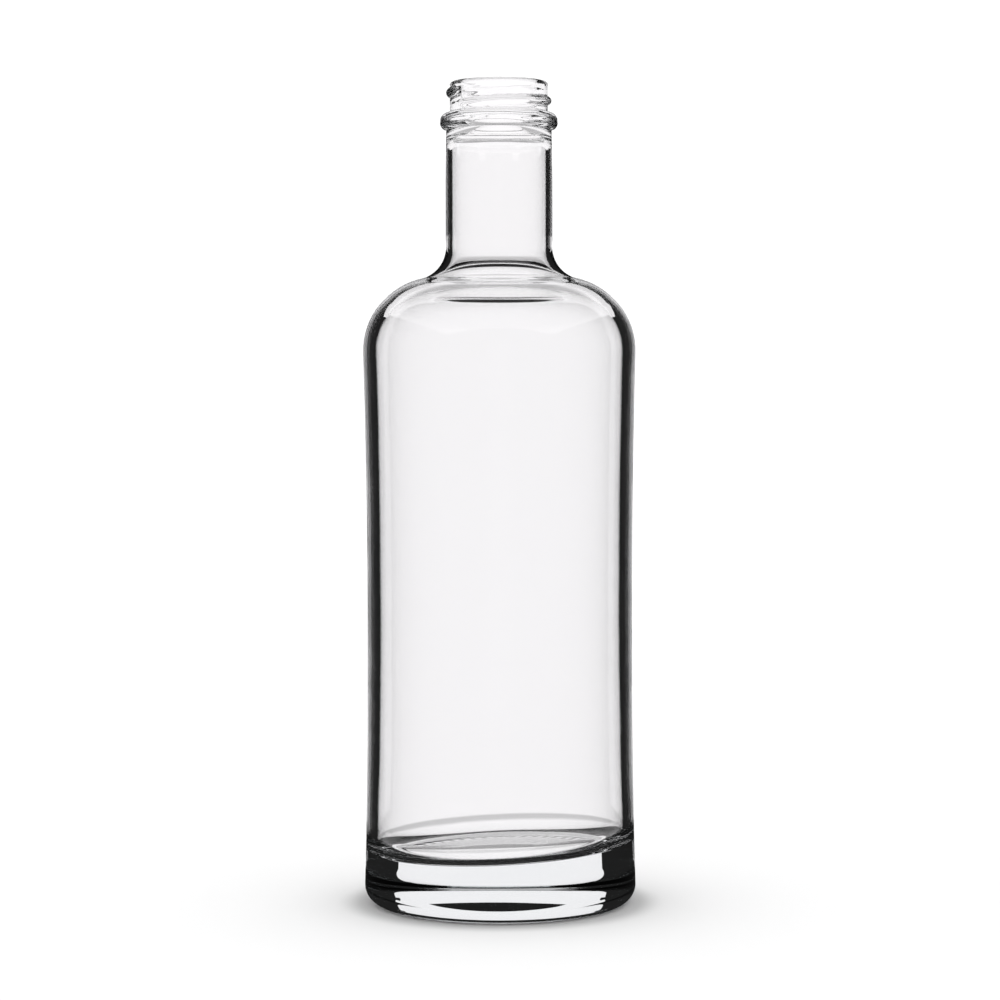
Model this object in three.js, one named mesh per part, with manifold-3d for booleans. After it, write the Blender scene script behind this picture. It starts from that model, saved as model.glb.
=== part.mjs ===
// Liquor bottle of clear glass, moulded in one piece: screw finish, bead, straight neck, round shoulder,
// slightly waisted body and a heavy base with a shallow push-up under it.
// Millimetres, +Z up, origin at the middle of the ring that the bottle stands on.

import * as THREE from "three";
import { mergeVertices } from "three/addons/utils/BufferGeometryUtils.js";
import Module from "manifold-3d";

const wasm = await Module();
wasm.setup();

// Body, outside
const bodyRadius = 40.8;
const waistDepth = 1.05; // how far the body draws in at its waist
const waistHeight = 88; // above the surface that the bottle stands on
const shoulderHeight = 165.9; // where the body is widest, under the shoulder
const shoulderRounding = 22.1;
const neckFillet = 9.6; // hollow curve from the neck out to the shoulder

// Neck, outside
const neckLength = 34.75; // from the hollow curve up to the bead
const neckStep = 1.05; // how far the neck's top stands out from the finish
const neckTaper = 0.22; // how much wider the neck is at its foot
const neckTaperLength = 15;

// Finish, the part that the closure screws onto
const finishRadius = 14.7;
const lipRounding = 0.9;

// Bead, the plain ring under the thread
const beadStep = 2.9; // how far it stands out from the finish
const beadHeight = 5.2;
const beadRounding = 2.3;
const beadDrop = 9.2; // from the lip down to the bead's top

// Thread, one right-hand start that sinks into the finish at both ends
const threadHeight = 1.1;
const threadWidth = 2.7;
const threadPitch = 4.76;
const threadDrop = 2.73; // from the lip down to the middle of the ridge where it starts
const threadStartDegrees = 214; // from +X, seen from above
const threadSweepDegrees = 362;
const threadFadeDegrees = 30;
const threadSink = 0.8; // how far the ridge's root reaches into the wall

// Walls and bore
const bodyWall = 3.8;
const neckWall = 1.95;
const finishWall = 3.3;
const mouthRounding = 0.8;
const boreDepth = 9.8; // from the lip down to where the bore widens
const boreFlareLength = 7;

// Base
const heelRounding = 5.5;
const baseThickness = 16.5; // under the middle of the floor inside
const floorRounding = 6; // inside corner between the wall and the floor
const floorTiltDegrees = 2.8; // the floor inside isn't level: it rises towards +X
const floorTiltReach = 22; // height above the floor over which the tilt dies out
const bearingWidth = 4; // of the flat ring that the bottle stands on
const bearingRise = 1; // height of the ring's inner flank
const pushUpHeight = 4;

// Fineness of the faceted surfaces
const facetGap = 0.08; // the most that a facet lies inside its arc
const threadStepDegrees = 8;
const threadSectionSteps = 6;
const overrun = 2; // how far the cutting solid runs past the lip that it opens

// Sizes that follow
const neckTopRadius = finishRadius + neckStep;
const neckRadius = neckTopRadius + neckTaper;
const beadRadius = finishRadius + beadStep;
const mouthRadius = finishRadius - finishWall;
const domeCentreRadius = bodyRadius - shoulderRounding;
const filletCentreRadius = neckRadius + neckFillet;
const domeToFillet = shoulderRounding + neckFillet;
const neckFootHeight = shoulderHeight + Math.sqrt(domeToFillet ** 2 - (filletCentreRadius - domeCentreRadius) ** 2);
const beadBottom = neckFootHeight + neckLength;
const beadTop = beadBottom + beadHeight;
const bottleHeight = beadTop + beadDrop;

// The angle of one facet on an arc of this radius
function facetAngle(radius) {
  return 2 * Math.acos(1 - facetGap / Math.abs(radius));
}

// Points of an arc in the half plane of a turned profile, with both ends
function arc(centreRadius, centreHeight, radius, startAngle, endAngle) {
  const steps = Math.ceil(Math.abs(endAngle - startAngle) / facetAngle(radius));
  const points = [];
  for (let i = 0; i <= steps; i += 1) {
    const angle = THREE.MathUtils.lerp(startAngle, endAngle, i / steps);
    const r = centreRadius + radius * Math.cos(angle);
    const z = centreHeight + radius * Math.sin(angle);
    points.push(new THREE.Vector2(r, z));
  }
  return points;
}

// Points of a long hollow arc that is upright at the waist and touches a round corner, from the waist outwards
function waistArc(waist, corner) {
  const gap = waist - corner.centreRadius;
  const rise = corner.centreHeight - waistHeight;
  const radius = (gap * gap + rise * rise - corner.radius * corner.radius) / (2 * (corner.radius - gap));
  const centreRadius = waist + radius;
  const lean = Math.atan(rise / (centreRadius - corner.centreRadius));
  return { points: arc(centreRadius, waistHeight, radius, Math.PI, Math.PI - lean), lean };
}

// One side of the body's section from the bottom up to the neck, as arcs that run into each other.
// The same curve serves for the outside and, moved in by the wall, for the inside.
function bodySide({ neck, fillet, rounding, widest, waist, corner, bottom }) {
  const shoulder = { centreRadius: widest - rounding, centreHeight: shoulderHeight, radius: rounding };
  const low = { centreRadius: widest - corner, centreHeight: bottom + corner, radius: corner };
  const upper = waistArc(waist, shoulder);
  const lower = waistArc(waist, low);
  const filletRadius = neck + fillet;
  const sideways = filletRadius - shoulder.centreRadius;
  const filletHeight = shoulderHeight + Math.sqrt((rounding + fillet) ** 2 - sideways ** 2);
  const touch = Math.atan2(filletHeight - shoulderHeight, sideways);
  return [
    ...arc(low.centreRadius, low.centreHeight, corner, -Math.PI / 2, -lower.lean),
    ...lower.points.slice(0, -1).reverse(),
    ...upper.points.slice(1),
    ...arc(shoulder.centreRadius, shoulderHeight, rounding, -upper.lean, touch).slice(1),
    ...arc(filletRadius, filletHeight, fillet, touch + Math.PI, Math.PI).slice(1),
  ];
}

// A solid turned from a profile that starts and ends on the axis, from the bottom to the top
function turned(points) {
  const facetsInQuarter = Math.ceil(Math.PI / 2 / facetAngle(bodyRadius));
  const geometry = new THREE.LatheGeometry(points, 4 * facetsInQuarter);
  geometry.rotateX(Math.PI / 2);
  return geometry;
}

// Closed mesh to boolean solid: shared vertices merged, triangles without area dropped
function toSolid(geometry) {
  geometry.deleteAttribute("normal");
  geometry.deleteAttribute("uv");
  const merged = mergeVertices(geometry, 1e-4);
  const index = merged.index.array;
  const triangles = [];
  for (let i = 0; i < index.length; i += 3) {
    const [a, b, c] = [index[i], index[i + 1], index[i + 2]];
    if (a !== b && b !== c && c !== a) triangles.push(a, b, c);
  }
  const mesh = new wasm.Mesh({
    numProp: 3,
    vertProperties: new Float32Array(merged.attributes.position.array),
    triVerts: new Uint32Array(triangles),
  });
  return new wasm.Manifold(mesh);
}

function toGeometry(solid) {
  const mesh = solid.getMesh();
  const geometry = new THREE.BufferGeometry();
  geometry.setAttribute("position", new THREE.BufferAttribute(mesh.vertProperties, 3));
  geometry.setIndex(new THREE.BufferAttribute(mesh.triVerts, 1));
  geometry.computeVertexNormals();
  return geometry;
}

// Outside of the bottle, without the thread
function outside() {
  const side = bodySide({
    neck: neckRadius,
    fillet: neckFillet,
    rounding: shoulderRounding,
    widest: bodyRadius,
    waist: bodyRadius - waistDepth,
    corner: heelRounding,
    bottom: 0,
  });
  const bearingOutside = bodyRadius - heelRounding;
  const bearingInside = bearingOutside - bearingWidth;
  const flank = bearingInside - bearingRise;
  const crown = pushUpHeight - bearingRise;
  const crownRadius = (flank * flank + crown * crown) / (2 * crown);
  const crownEdge = Math.asin(flank / crownRadius);
  const crownCentre = pushUpHeight - crownRadius;
  const pushUp = arc(0, crownCentre, crownRadius, Math.PI / 2, Math.PI / 2 - crownEdge);
  const beadCorner = beadRadius - beadRounding;
  const beadFoot = Math.acos(Math.max(0, neckTopRadius - beadCorner) / beadRounding);
  const profile = [
    ...pushUp,
    new THREE.Vector2(bearingInside, 0),
    ...side,
    new THREE.Vector2(neckRadius, beadBottom - neckTaperLength),
    new THREE.Vector2(neckTopRadius, beadBottom),
    ...arc(beadCorner, beadBottom + beadRounding, beadRounding, -beadFoot, 0),
    ...arc(beadCorner, beadTop - beadRounding, beadRounding, 0, Math.PI / 2),
    new THREE.Vector2(finishRadius, beadTop),
    ...arc(finishRadius - lipRounding, bottleHeight - lipRounding, lipRounding, 0, Math.PI / 2),
    new THREE.Vector2(0, bottleHeight),
  ];
  return turned(profile);
}

// The hollow inside, from the floor up through the mouth
function hollow() {
  const side = bodySide({
    neck: neckRadius - neckWall,
    fillet: neckFillet + neckWall,
    rounding: shoulderRounding - bodyWall,
    widest: bodyRadius - bodyWall,
    waist: bodyRadius - waistDepth - bodyWall,
    corner: floorRounding,
    bottom: baseThickness,
  });
  const boreEnd = bottleHeight - boreDepth;
  const rim = arc(mouthRadius + mouthRounding, bottleHeight - mouthRounding, mouthRounding, Math.PI, Math.PI / 2);
  const profile = [
    new THREE.Vector2(0, baseThickness),
    ...side,
    new THREE.Vector2(neckRadius - neckWall, boreEnd - boreFlareLength),
    new THREE.Vector2(mouthRadius, boreEnd),
    ...rim,
    new THREE.Vector2(mouthRadius + mouthRounding, bottleHeight + overrun),
    new THREE.Vector2(0, bottleHeight + overrun),
  ];
  const geometry = turned(profile);
  const slope = Math.tan(THREE.MathUtils.degToRad(floorTiltDegrees));
  const position = geometry.attributes.position;
  for (let i = 0; i < position.count; i += 1) {
    const above = (position.getZ(i) - baseThickness) / floorTiltReach;
    const share = 1 - THREE.MathUtils.smoothstep(above, 0, 1);
    position.setZ(i, position.getZ(i) + position.getX(i) * slope * share);
  }
  return geometry;
}

// Thread: a half-round ridge, extruded straight with one unit of length for each degree of its turn,
// and then bent round the finish as a falling helix
function thread() {
  const half = threadWidth / 2;
  const section = new THREE.Shape();
  section.moveTo(-threadSink, -half);
  section.lineTo(0, -half);
  section.absellipse(0, 0, threadHeight, half, -Math.PI / 2, Math.PI / 2, false, 0);
  section.lineTo(-threadSink, half);
  const geometry = new THREE.ExtrudeGeometry(section, {
    depth: threadSweepDegrees,
    steps: Math.ceil(threadSweepDegrees / threadStepDegrees),
    curveSegments: threadSectionSteps,
    bevelEnabled: false,
  });
  const position = geometry.attributes.position;
  const leastShare = 0.1;
  for (let i = 0; i < position.count; i += 1) {
    const along = position.getZ(i);
    const fromEnd = Math.min(along, threadSweepDegrees - along);
    const share = leastShare + (1 - leastShare) * THREE.MathUtils.smoothstep(fromEnd, 0, threadFadeDegrees);
    const radius = finishRadius - threadSink + (position.getX(i) + threadSink) * share;
    const angle = THREE.MathUtils.degToRad(threadStartDegrees - along);
    const height = bottleHeight - threadDrop - (threadPitch * along) / 360 + position.getY(i);
    position.setXYZ(i, radius * Math.cos(angle), radius * Math.sin(angle), height);
  }
  return geometry;
}

const glass = new THREE.MeshStandardMaterial({
  color: 0xeef3f1,
  roughness: 0.03,
  metalness: 0,
  transparent: true,
  opacity: 0.35,
});

const moulded = toSolid(outside()).add(toSolid(thread()));
const bottle = new THREE.Mesh(toGeometry(moulded.subtract(toSolid(hollow()))), glass);
bottle.name = "glass_bottle";

const group = new THREE.Group();
group.add(bottle);

export default group;
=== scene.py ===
"""Clear glass liquor bottle: the moulded glass and its material, a floor, dark cards, a room and a camera."""

import math

import bpy
import numpy as np
from mathutils import Euler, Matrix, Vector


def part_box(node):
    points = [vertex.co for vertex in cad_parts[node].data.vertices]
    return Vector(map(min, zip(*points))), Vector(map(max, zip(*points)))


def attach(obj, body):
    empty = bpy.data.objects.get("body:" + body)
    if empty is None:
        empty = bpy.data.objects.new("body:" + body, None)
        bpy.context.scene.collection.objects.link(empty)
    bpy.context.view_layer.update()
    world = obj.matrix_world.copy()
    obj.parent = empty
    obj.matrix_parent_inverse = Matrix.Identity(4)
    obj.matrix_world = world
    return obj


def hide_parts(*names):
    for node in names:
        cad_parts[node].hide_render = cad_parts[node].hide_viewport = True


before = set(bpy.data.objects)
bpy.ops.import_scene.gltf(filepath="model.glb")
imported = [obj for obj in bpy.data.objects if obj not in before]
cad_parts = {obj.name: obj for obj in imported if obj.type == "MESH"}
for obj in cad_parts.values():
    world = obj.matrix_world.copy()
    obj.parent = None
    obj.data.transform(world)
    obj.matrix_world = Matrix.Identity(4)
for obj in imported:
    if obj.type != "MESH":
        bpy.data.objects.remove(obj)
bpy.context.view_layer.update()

MM = 0.001
NODE = "glass_bottle"

# Sizes of the bottle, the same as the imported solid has
BODY_R = 40.79 * MM
WAIST_DEPTH = 1.05 * MM
WAIST_Z = 88.0 * MM
SHOULDER_Z = 165.9 * MM
SHOULDER_ROUNDING = 22.1 * MM
NECK_FILLET = 9.6 * MM
NECK_R = 15.97 * MM
NECK_TOP_R = 15.75 * MM
NECK_TAPER = 15.0 * MM
FINISH_R = 14.7 * MM
LIP_ROUNDING = 0.9 * MM
BEAD_R = 17.6 * MM
BEAD_HEIGHT = 5.2 * MM
BEAD_ROUNDING = 2.3 * MM
BEAD_DROP = 9.2 * MM
BEAD_FILLET = 0.5 * MM
THREAD_HEIGHT = 1.1 * MM
THREAD_WIDTH = 2.7 * MM
THREAD_PITCH = 4.76 * MM
THREAD_DROP = 2.73 * MM
THREAD_START = 214.0
THREAD_SWEEP = 362.0
THREAD_FADE = 30.0
THREAD_FULLNESS = 0.8
BODY_WALL = 3.8 * MM
NECK_WALL = 1.95 * MM
MOUTH_R = 11.4 * MM
MOUTH_ROUNDING = 0.8 * MM
BORE_DEPTH = 9.8 * MM
BORE_FLARE = 7.0 * MM
HEEL_ROUNDING = 5.5 * MM
BASE_THICKNESS = 16.5 * MM
FLOOR_ROUNDING = 6.0 * MM
FLOOR_TILT = math.radians(2.8)
FLOOR_TILT_REACH = 22.0 * MM
BEARING_WIDTH = 4.0 * MM
BEARING_RISE = 1.0 * MM
PUSH_UP = 4.0 * MM
KNURLS = 56
KNURL_DEPTH = 0.4 * MM
KNURL_REACH = 1.4
LIP_Z = float(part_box(NODE)[1][2])

# Fineness of the glass
SEGMENTS = 240
ARC_STEP = math.radians(5.0)
SIDE_STEP = 4.0 * MM
FINISH_STEP = 0.2 * MM
LEDGE_STEP = 0.3 * MM
BEARING_STEP = 0.5 * MM
FLARE_STEP = 0.5 * MM
FLOOR_STEP = 2.0 * MM
PUSH_UP_STEPS = 24

# Camera: its distance, and the scale, horizon, foot and axis in the photograph's 1000 by 1000 frame
IMAGE = 1000
SENSOR = 36.0
SCALE = 0.300 * MM
DISTANCE = 810.0 * MM
HORIZON_Y = 395
BASE_Y = 900.5
AXIS_X = 499.4
ROLL = math.radians(0.11)

# Glass: what it does to light, its waves and roughness, and the finer wrinkles on the finish
GLASS_IOR = 1.52
ABSORB_COLOUR = (0.60, 0.66, 0.67, 1)
ABSORB_DENSITY = 5.0
WAVE_SCALE = 45.0
WAVE_DETAIL = 1.0
WAVE_HEIGHT = 0.05 * MM
ROUGH_DETAIL = 3.0
ROUGH_FROM = 0.4
ROUGH_TO = 0.7
ROUGHEST = 0.02
WRINKLE_SCALE = 110.0
WRINKLE_DETAIL = 0.5
WRINKLE_HEIGHT = 0.12 * MM
FINISH_STRETCH = (1.0, 1.0, 6.0)
FINISH_FROM = 229 * MM
FINISH_TO = 236 * MM

# Limits between whole counts of how often light was reflected or refracted
ONCE = 0.5
THREE_TIMES = 2.5

# Room: its white, and the faint violet of what the glass lets through
BACKGROUND = 1.1
THROUGH_GLASS = (1.0, 0.985, 1.0, 1)

# Floor: a shadow painted into its colour from the foot outwards, as white as the room far out, and a painted
# dark shadow near the foot for light that the glass reflected
FLOOR_COLOUR = 0.8
FLOOR_SIZE = 8000 * MM
SHADE_START = 34 * MM
SHADE_END = 50 * MM
SHADE_LIGHT = 0.4
EVEN_START = 250 * MM
EVEN_END = 400 * MM
# Painted shadow: how far round the foot the floor is dark to light that the glass reflected
FOOT_DARK = 75 * MM

# Cards on four sides of the bottle: bottom, top, half gap and reach of each band, with no gap on the front
CARD_DISTANCE = 139 * MM
CARD_BANDS = (
    (-150 * MM, 50 * MM, 66.5 * MM, CARD_DISTANCE),
    (50 * MM, 207 * MM, 60 * MM, CARD_DISTANCE),
    (207 * MM, 238 * MM, 28 * MM, CARD_DISTANCE),
    (238 * MM, 246 * MM, 28 * MM, 100 * MM),
)
CARD_DARK = 0.015
FRONT_TURN = 2

# Darker directions of the room: low down, all but straight behind, steeply up, and low behind the bottle
LOW_TOP = math.radians(-14)
LOW_START = math.radians(-18)
RIM_FULL = math.radians(12)
RIM_EDGE = math.radians(24)
STEEP_START = math.radians(30)
STEEP_END = math.radians(40)
STEEP_LIGHT = 0.5
BEHIND_FULL = math.radians(22)
BEHIND_EDGE = math.radians(30)
BEHIND_LIGHT = 0.65


def arc(centre_r, centre_z, radius, start, end):
    """Points of an arc of the turned section, with both ends."""
    steps = max(2, math.ceil(abs(end - start) / ARC_STEP))
    angles = [start + (end - start) * i / steps for i in range(steps + 1)]
    return [(centre_r + radius * math.cos(a), centre_z + radius * math.sin(a)) for a in angles]


def line(start, end, step):
    """Points of a straight stretch without its first point."""
    count = max(1, math.ceil(math.dist(start, end) / step))
    return [
        (start[0] + (end[0] - start[0]) * i / count, start[1] + (end[1] - start[1]) * i / count)
        for i in range(1, count + 1)
    ]


def waist_arc(waist, corner_r, corner_z, radius):
    """The long hollow arc from the waist out to a round corner, and how far it leans there."""
    gap = waist - corner_r
    rise = corner_z - WAIST_Z
    sweep = (gap * gap + rise * rise - radius * radius) / (2 * (radius - gap))
    centre = waist + sweep
    lean = math.atan(rise / (centre - corner_r))
    steps = math.ceil(abs(rise) / SIDE_STEP)
    angles = [math.pi - lean * i / steps for i in range(steps + 1)]
    return [(centre + sweep * math.cos(a), WAIST_Z + sweep * math.sin(a)) for a in angles], lean


def body_side(inset, neck, fillet, corner, bottom):
    """One side of the body's section, from the bottom up to the neck."""
    widest = BODY_R - inset
    rounding = SHOULDER_ROUNDING - inset
    dome_r = widest - rounding
    waist = widest - WAIST_DEPTH
    upper, upper_lean = waist_arc(waist, dome_r, SHOULDER_Z, rounding)
    lower, lower_lean = waist_arc(waist, widest - corner, bottom + corner, corner)
    fillet_r = neck + fillet
    fillet_z = SHOULDER_Z + math.sqrt((rounding + fillet) ** 2 - (fillet_r - dome_r) ** 2)
    touch = math.atan2(fillet_z - SHOULDER_Z, fillet_r - dome_r)
    points = arc(widest - corner, bottom + corner, corner, -math.pi / 2, -lower_lean)
    points += lower[-2::-1]
    points += upper[1:]
    points += arc(dome_r, SHOULDER_Z, rounding, -upper_lean, touch)[1:]
    points += arc(fillet_r, fillet_z, fillet, touch + math.pi, math.pi)[1:]
    return points


def section():
    """The whole section from the push-up's middle round the lip to the floor's middle, in zones."""
    bearing_out = BODY_R - HEEL_ROUNDING
    bearing_in = bearing_out - BEARING_WIDTH
    flank = bearing_in - BEARING_RISE
    crown = PUSH_UP - BEARING_RISE
    crown_r = (flank * flank + crown * crown) / (2 * crown)
    edge = math.asin(flank / crown_r)
    slopes = [edge * i / PUSH_UP_STEPS for i in range(PUSH_UP_STEPS + 1)]
    base = [(crown_r * math.sin(a), PUSH_UP - crown_r * (1 - math.cos(a))) for a in slopes]
    base += line(base[-1], (bearing_in, 0), LEDGE_STEP)
    base += line((bearing_in, 0), (bearing_out, 0), BEARING_STEP)[:-1]

    outside = body_side(0.0, NECK_R, NECK_FILLET, HEEL_ROUNDING, 0.0)
    bead_top = LIP_Z - BEAD_DROP
    bead_bottom = bead_top - BEAD_HEIGHT
    bead_corner = BEAD_R - BEAD_ROUNDING
    foot = math.acos((NECK_TOP_R - bead_corner) / BEAD_ROUNDING)
    outside += line(outside[-1], (NECK_R, bead_bottom - NECK_TAPER), SIDE_STEP)
    bead = arc(bead_corner, bead_bottom + BEAD_ROUNDING, BEAD_ROUNDING, -foot, 0)
    outside += line(outside[-1], bead[0], SIDE_STEP)
    outside += bead[1:]
    outside += arc(bead_corner, bead_top - BEAD_ROUNDING, BEAD_ROUNDING, 0, math.pi / 2)

    finish = arc(FINISH_R + BEAD_FILLET, bead_top + BEAD_FILLET, BEAD_FILLET, -math.pi / 2, -math.pi)
    finish += line(finish[-1], (FINISH_R, LIP_Z - LIP_ROUNDING), FINISH_STEP)
    finish += arc(FINISH_R - LIP_ROUNDING, LIP_Z - LIP_ROUNDING, LIP_ROUNDING, 0, math.pi / 2)[1:]

    mouth = arc(MOUTH_R + MOUTH_ROUNDING, LIP_Z - MOUTH_ROUNDING, MOUTH_ROUNDING, math.pi / 2, math.pi)
    bore_end = LIP_Z - BORE_DEPTH
    mouth += line(mouth[-1], (MOUTH_R, bore_end), SIDE_STEP)
    neck_in = NECK_R - NECK_WALL
    mouth += line(mouth[-1], (neck_in, bore_end - BORE_FLARE), FLARE_STEP)
    inside = body_side(BODY_WALL, neck_in, NECK_FILLET + NECK_WALL, FLOOR_ROUNDING, BASE_THICKNESS)[::-1]
    mouth += line(mouth[-1], inside[0], SIDE_STEP)
    floor = line(inside[-1], (0, BASE_THICKNESS), FLOOR_STEP)

    zones = [("base", base), ("outside", outside), ("finish", finish), ("inside", mouth + inside[1:] + floor)]
    return [(r, z, name) for name, points in zones for r, z in points]


def smooth(t):
    """Smooth step from 0 to 1 of an array."""
    t = np.clip(t, 0.0, 1.0)
    return t * t * (3 - 2 * t)


def thread_rise(theta, z):
    """How far the thread stands out of the finish at these angles and heights."""
    rise = np.zeros(np.broadcast(theta, z).shape)
    start = (THREAD_START - np.degrees(theta)) % 360
    for turn in (0, 1):
        along = start + 360 * turn
        fade = smooth(np.minimum(along, THREAD_SWEEP - along) / THREAD_FADE)
        middle = LIP_Z - THREAD_DROP - THREAD_PITCH * along / 360
        offset = (z - middle) / (THREAD_WIDTH / 2)
        ridge = THREAD_HEIGHT * fade * np.maximum(0, 1 - offset**2) ** THREAD_FULLNESS
        rise = np.maximum(rise, ridge)
    return rise


def glass_points():
    """The section turned round the axis, with thread, knurls and tilted floor: x, y and z of each ring."""
    points = section()
    radius = np.array([p[0] for p in points])[:, None]
    height = np.array([p[1] for p in points])[:, None]
    zone = np.array([p[2] for p in points])[:, None]
    theta = np.linspace(0, 2 * np.pi, SEGMENTS, endpoint=False)[None, :]
    r = radius + 0 * theta
    z = height + 0 * theta

    r = np.where(zone == "finish", r + thread_rise(theta, z), r)

    middle = BODY_R - HEEL_ROUNDING - BEARING_WIDTH / 2
    near_ring = smooth(KNURL_REACH - np.abs(radius - middle) / (BEARING_WIDTH / 2)) * (height < BEARING_RISE)
    notch = 0.5 - 0.5 * np.cos(KNURLS * theta)
    z = z + np.where(zone == "inside", 0, KNURL_DEPTH * near_ring * notch**2)

    share = 1 - smooth((z - BASE_THICKNESS) / FLOOR_TILT_REACH)
    z = np.where(zone == "inside", z + r * np.cos(theta) * math.tan(FLOOR_TILT) * share, z)
    return r * np.cos(theta), r * np.sin(theta), z


def glass_mesh():
    """The glass as one closed surface: a point at each end of the section, and rings between them."""
    x, y, z = glass_points()
    vertices = [(0.0, 0.0, float(z[0, 0]))]
    for i in range(1, len(z) - 1):
        vertices += list(zip(x[i].tolist(), y[i].tolist(), z[i].tolist()))
    vertices.append((0.0, 0.0, float(z[-1, 0])))
    last = len(vertices) - 1
    bands = len(z) - 3
    last_ring = 1 + bands * SEGMENTS
    faces = []
    for j in range(SEGMENTS):
        k = (j + 1) % SEGMENTS
        faces.append((0, 1 + k, 1 + j))
        faces.append((last_ring + j, last_ring + k, last))
        for i in range(bands):
            a = 1 + i * SEGMENTS
            b = a + SEGMENTS
            faces.append((a + j, a + k, b + k, b + j))
    mesh = bpy.data.meshes.new("moulded_glass")
    mesh.from_pydata(vertices, [], faces)
    mesh.shade_smooth()
    mesh.update()
    return mesh


def calculate(tree, operation, first, second):
    """A Math node of two sockets or numbers."""
    node = tree.nodes.new("ShaderNodeMath")
    node.operation = operation
    for place, value in enumerate((first, second)):
        if isinstance(value, (int, float)):
            node.inputs[place].default_value = value
        else:
            tree.links.new(value, node.inputs[place])
    return node.outputs[0]


def more_than(tree, socket, limit):
    """1 where the socket is over the limit, and else 0."""
    return calculate(tree, "GREATER_THAN", socket, limit)


def ramp(tree, socket, start, end, low=0.0, high=1.0):
    """A smooth rise or fall of the socket's value between two limits."""
    node = tree.nodes.new("ShaderNodeMapRange")
    node.interpolation_type = "SMOOTHSTEP"
    for name, value in (("From Min", start), ("From Max", end), ("To Min", low), ("To Max", high)):
        node.inputs[name].default_value = value
    tree.links.new(socket, node.inputs["Value"])
    return node.outputs[0]


def mixed(tree, share, first, second):
    """A shader that goes from the first to the second as the share goes from 0 to 1."""
    node = tree.nodes.new("ShaderNodeMixShader")
    tree.links.new(share, node.inputs[0])
    tree.links.new(first, node.inputs[1])
    tree.links.new(second, node.inputs[2])
    return node.outputs[0]


def glow(tree, strength):
    """A shader of plain white light."""
    node = tree.nodes.new("ShaderNodeEmission")
    node.inputs["Strength"].default_value = strength
    return node.outputs[0]


def noise(tree, place, scale, detail):
    """A noise texture's value over the glass."""
    node = tree.nodes.new("ShaderNodeTexNoise")
    node.inputs["Scale"].default_value = scale
    node.inputs["Detail"].default_value = detail
    tree.links.new(place, node.inputs["Vector"])
    return node.outputs[0]


def glass_material():
    """Clear flint glass: faintly green where it is thick, with soft waves all over and more on the finish."""
    material = bpy.data.materials.new("clear_glass")
    material.use_nodes = True
    tree = material.node_tree
    shader = tree.nodes["Principled BSDF"]
    shader.inputs["Base Color"].default_value = (1, 1, 1, 1)
    shader.inputs["Transmission Weight"].default_value = 1.0
    shader.inputs["IOR"].default_value = GLASS_IOR
    place = tree.nodes.new("ShaderNodeTexCoord")
    parts = tree.nodes.new("ShaderNodeSeparateXYZ")
    tree.links.new(place.outputs["Object"], parts.inputs[0])
    flat = tree.nodes.new("ShaderNodeMapping")
    flat.inputs["Scale"].default_value = FINISH_STRETCH
    tree.links.new(place.outputs["Object"], flat.inputs["Vector"])
    waves = noise(tree, place.outputs["Object"], WAVE_SCALE, WAVE_DETAIL)
    waves = calculate(tree, "MULTIPLY", waves, WAVE_HEIGHT)
    wrinkles = noise(tree, flat.outputs[0], WRINKLE_SCALE, WRINKLE_DETAIL)
    wrinkles = calculate(tree, "MULTIPLY", wrinkles, WRINKLE_HEIGHT)
    on_finish = ramp(tree, parts.outputs["Z"], FINISH_FROM, FINISH_TO)
    height = calculate(tree, "ADD", waves, calculate(tree, "MULTIPLY", wrinkles, on_finish))
    bump = tree.nodes.new("ShaderNodeBump")
    bump.inputs["Distance"].default_value = 1.0
    tree.links.new(height, bump.inputs["Height"])
    tree.links.new(bump.outputs["Normal"], shader.inputs["Normal"])
    rough = noise(tree, place.outputs["Object"], WAVE_SCALE, ROUGH_DETAIL)
    rough = ramp(tree, rough, ROUGH_FROM, ROUGH_TO, 0.0, ROUGHEST)
    tree.links.new(rough, shader.inputs["Roughness"])
    absorb = tree.nodes.new("ShaderNodeVolumeAbsorption")
    absorb.inputs["Color"].default_value = ABSORB_COLOUR
    absorb.inputs["Density"].default_value = ABSORB_DENSITY
    tree.links.new(absorb.outputs["Volume"], tree.nodes["Material Output"].inputs["Volume"])
    return material


def light_count(tree, count, limit):
    """1 for light whose count of reflections or refractions is over the limit, and else 0."""
    light_path = tree.nodes.new("ShaderNodeLightPath")
    return more_than(tree, light_path.outputs[count], limit)


def reflected(tree):
    """1 for light that the glass reflected anywhere, and else 0."""
    return light_count(tree, "Glossy Depth", ONCE)


def entered(tree):
    """1 for light that went into the glass, and else 0."""
    return light_count(tree, "Transmission Depth", ONCE)


def mirrored(tree):
    """1 for light that the outer surface reflects and that never entered the glass, and else 0."""
    return more_than(tree, calculate(tree, "SUBTRACT", reflected(tree), entered(tree)), ONCE)


def through_glass(tree):
    """1 for light that the glass reflected or let through, and else 0."""
    return calculate(tree, "MAXIMUM", reflected(tree), entered(tree))


def turned_or_solid(tree):
    """1 for light that the glass reflected, or that went through solid glass only, and else 0."""
    hollow = light_count(tree, "Transmission Depth", THREE_TIMES)
    solid = calculate(tree, "SUBTRACT", entered(tree), hollow)
    return calculate(tree, "MAXIMUM", reflected(tree), solid)


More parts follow.
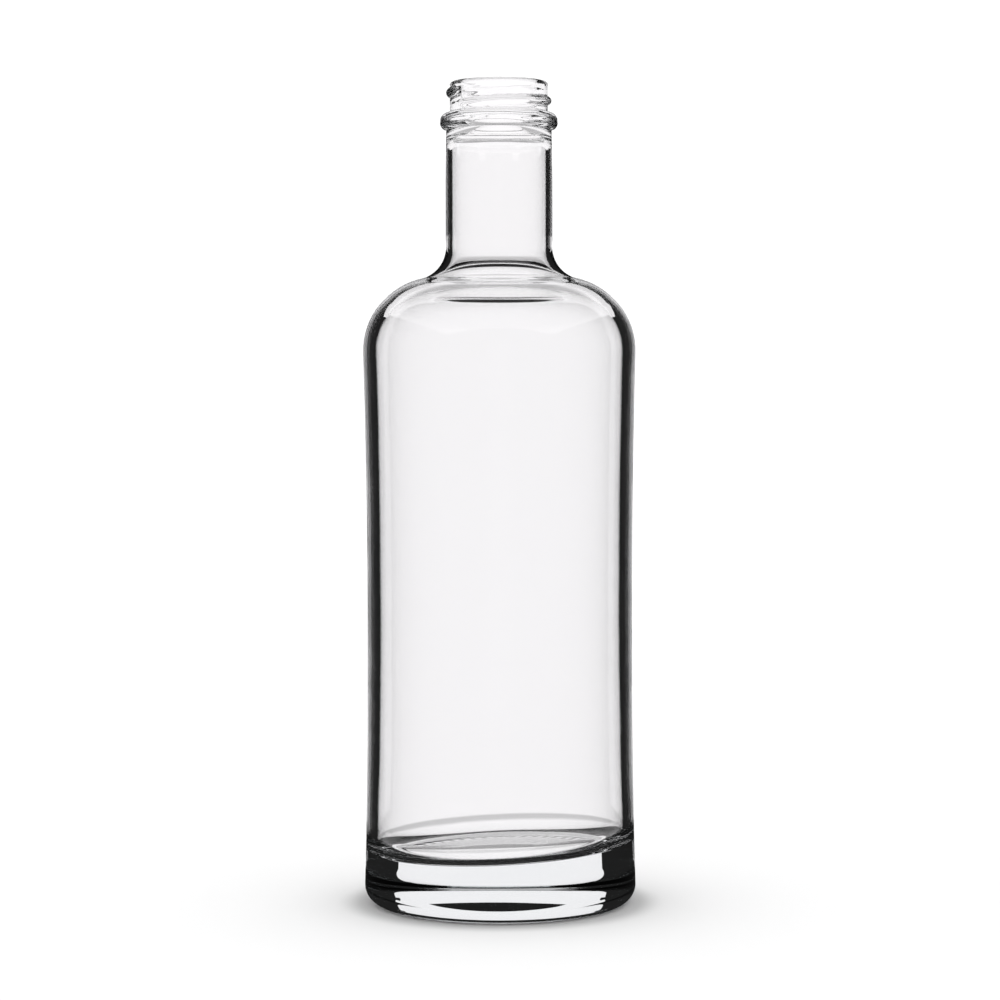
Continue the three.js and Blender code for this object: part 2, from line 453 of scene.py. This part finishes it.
def floor_material():
    """Pale, with a shadow painted into its colour at the foot and white far out; to light from the glass clear,
    or a painted dark shadow near the foot.
    """
    material = bpy.data.materials.new("pale_floor")
    material.use_nodes = True
    tree = material.node_tree
    shader = tree.nodes["Principled BSDF"]
    shader.inputs["Roughness"].default_value = 1.0
    shader.inputs["Specular IOR Level"].default_value = 0.0
    place = tree.nodes.new("ShaderNodeTexCoord")
    length = tree.nodes.new("ShaderNodeVectorMath")
    length.operation = "LENGTH"
    tree.links.new(place.outputs["Object"], length.inputs[0])
    far = length.outputs["Value"]
    # Painted shadow: the floor's colour darkens from SHADE_END in to SHADE_START round the foot
    shade = ramp(tree, far, SHADE_START, SHADE_END, SHADE_LIGHT * FLOOR_COLOUR, FLOOR_COLOUR)
    tree.links.new(shade, shader.inputs["Base Color"])
    even = mixed(tree, ramp(tree, far, EVEN_START, EVEN_END), shader.outputs[0], glow(tree, BACKGROUND))
    clear = tree.nodes.new("ShaderNodeBsdfTransparent")
    # Painted shadow: near the foot the floor is a dark glow to light that the glass reflected, and clear
    # further out
    near = calculate(tree, "SUBTRACT", 1.0, more_than(tree, far, FOOT_DARK))
    dark = calculate(tree, "MULTIPLY", near, reflected(tree))
    below = mixed(tree, dark, clear.outputs[0], glow(tree, CARD_DARK))
    seen = mixed(tree, through_glass(tree), even, below)
    tree.links.new(seen, tree.nodes["Material Output"].inputs["Surface"])
    return material


def add_floor():
    """The floor that the bottle stands on."""
    bpy.ops.mesh.primitive_plane_add(size=FLOOR_SIZE, location=(0, 0, 0))
    floor = bpy.context.object
    floor.name = "floor"
    floor.data.materials.append(floor_material())


def card_material(name, chosen):
    """Dark card, there only for the chosen light."""
    material = bpy.data.materials.new(name)
    material.use_nodes = True
    tree = material.node_tree
    tree.nodes.remove(tree.nodes["Principled BSDF"])
    clear = tree.nodes.new("ShaderNodeBsdfTransparent")
    seen = mixed(tree, chosen(tree), clear.outputs[0], glow(tree, CARD_DARK))
    tree.links.new(seen, tree.nodes["Material Output"].inputs["Surface"])
    return material


def stage_card(name, vertices, faces, material):
    """A card on the stage, which the camera and the floor don't see."""
    mesh = bpy.data.meshes.new(name)
    mesh.from_pydata(vertices, [], faces)
    mesh.materials.append(material)
    card = bpy.data.objects.new(name, mesh)
    bpy.context.collection.objects.link(card)
    card.visible_camera = False
    card.visible_diffuse = False
    card.visible_shadow = False


def add_cards():
    """Upright cards at the corners round the bottle, with a gap in the middle of each side but the front."""
    vertices = []
    faces = []
    for turn in range(4):
        angle = turn * math.pi / 2
        for bottom, top, gap, reach in CARD_BANDS:
            inner = 0.0 if turn == FRONT_TURN else gap
            for side in (-1, 1):
                first = len(vertices)
                for z in (bottom, top):
                    for x in (side * inner, side * reach):
                        turned_x = x * math.cos(angle) - CARD_DISTANCE * math.sin(angle)
                        turned_y = x * math.sin(angle) + CARD_DISTANCE * math.cos(angle)
                        vertices.append((turned_x, turned_y, z))
                faces.append((first, first + 1, first + 3, first + 2))
    stage_card("cards", vertices, faces, card_material("dark_card", turned_or_solid))
    for side in (-1, 1):
        x = side * CARD_DISTANCE
        gap = CARD_BANDS[0][2]
        bottom = CARD_BANDS[0][0]
        top = CARD_BANDS[-1][1]
        vertices = [(x, -gap, bottom), (x, gap, bottom), (x, gap, top), (x, -gap, top)]
        stage_card("side_card", vertices, [(0, 1, 2, 3)], card_material("side_card", reflected))


def room_darkness(tree):
    """How much darker each direction of the room is for light that the glass has reflected or let through."""
    direction = tree.nodes.new("ShaderNodeTexCoord")
    parts = tree.nodes.new("ShaderNodeSeparateXYZ")
    tree.links.new(direction.outputs["Generated"], parts.inputs[0])
    back = parts.outputs["Y"]
    up = parts.outputs["Z"]
    low = ramp(tree, up, math.sin(LOW_START), math.sin(LOW_TOP), 1.0, 0.0)
    aside = ramp(tree, back, math.cos(RIM_EDGE), math.cos(RIM_FULL), 1.0, 0.0)
    steep = ramp(tree, up, math.sin(STEEP_START), math.sin(STEEP_END), 0.0, 1 - STEEP_LIGHT)
    behind = ramp(tree, back, math.cos(BEHIND_EDGE), math.cos(BEHIND_FULL), 0.0, 1 - BEHIND_LIGHT)
    low_behind = calculate(tree, "MULTIPLY", behind, low)
    low_or_steep = calculate(tree, "MAXIMUM", low, steep)
    dark = calculate(tree, "MULTIPLY", low_or_steep, reflected(tree))
    dark = calculate(tree, "MAXIMUM", dark, calculate(tree, "MULTIPLY", aside, mirrored(tree)))
    return calculate(tree, "MAXIMUM", dark, calculate(tree, "MULTIPLY", low_behind, through_glass(tree)))


def add_world():
    """A white room, a little violet through the glass and lighter for the floor, with its darker directions."""
    world = bpy.data.worlds.new("studio")
    bpy.context.scene.world = world
    world.use_nodes = True
    tree = world.node_tree
    background = tree.nodes["Background"]
    tint = tree.nodes.new("ShaderNodeMix")
    tint.data_type = "RGBA"
    colours = [socket for socket in tint.inputs if socket.type == "RGBA"]
    colours[0].default_value = (1, 1, 1, 1)
    colours[1].default_value = THROUGH_GLASS
    tree.links.new(entered(tree), tint.inputs[0])
    result = [socket for socket in tint.outputs if socket.type == "RGBA"][0]
    tree.links.new(result, background.inputs["Color"])
    light_path = tree.nodes.new("ShaderNodeLightPath")
    diffuse = light_path.outputs["Is Diffuse Ray"]
    strength = ramp(tree, diffuse, 0.0, 1.0, BACKGROUND, BACKGROUND / FLOOR_COLOUR)
    light = calculate(tree, "SUBTRACT", 1.0, room_darkness(tree))
    strength = calculate(tree, "MULTIPLY", strength, light)
    strength = calculate(tree, "MAXIMUM", strength, CARD_DARK)
    tree.links.new(strength, background.inputs["Strength"])


def add_camera():
    """The camera at the photograph's distance, height and tilt."""
    data = bpy.data.cameras.new("camera")
    camera = bpy.data.objects.new("camera", data)
    bpy.context.collection.objects.link(camera)
    pitch = math.atan((HORIZON_Y - IMAGE / 2) / (DISTANCE / SCALE))
    focal = DISTANCE * math.cos(pitch) / SCALE
    data.sensor_width = SENSOR
    data.lens = focal / IMAGE * SENSOR
    base_angle = math.atan((IMAGE / 2 - BASE_Y) / focal) + pitch
    height = -DISTANCE * math.tan(base_angle)
    aside = (IMAGE / 2 - AXIS_X) * SCALE
    camera.location = (aside, -DISTANCE, height)
    camera.rotation_euler = Euler((math.pi / 2 + pitch, ROLL, 0))
    bpy.context.scene.camera = camera


def set_render():
    """Enough bounces for thick clear glass, and plain colours."""
    scene = bpy.context.scene
    scene.view_settings.view_transform = "Standard"
    cycles = scene.cycles
    cycles.max_bounces = 24
    cycles.transmission_bounces = 24
    cycles.glossy_bounces = 12
    cycles.diffuse_bounces = 3
    cycles.transparent_max_bounces = 16
    cycles.caustics_refractive = True
    cycles.caustics_reflective = True
    cycles.blur_glossy = 0.0
    cycles.sample_clamp_indirect = 0.0


glass = bpy.data.objects.new("moulded_glass", glass_mesh())
bpy.context.collection.objects.link(glass)
glass.data.materials.append(glass_material())
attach(glass, "root")
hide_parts(NODE)

add_floor()
add_cards()
add_world()
add_camera()
set_render()
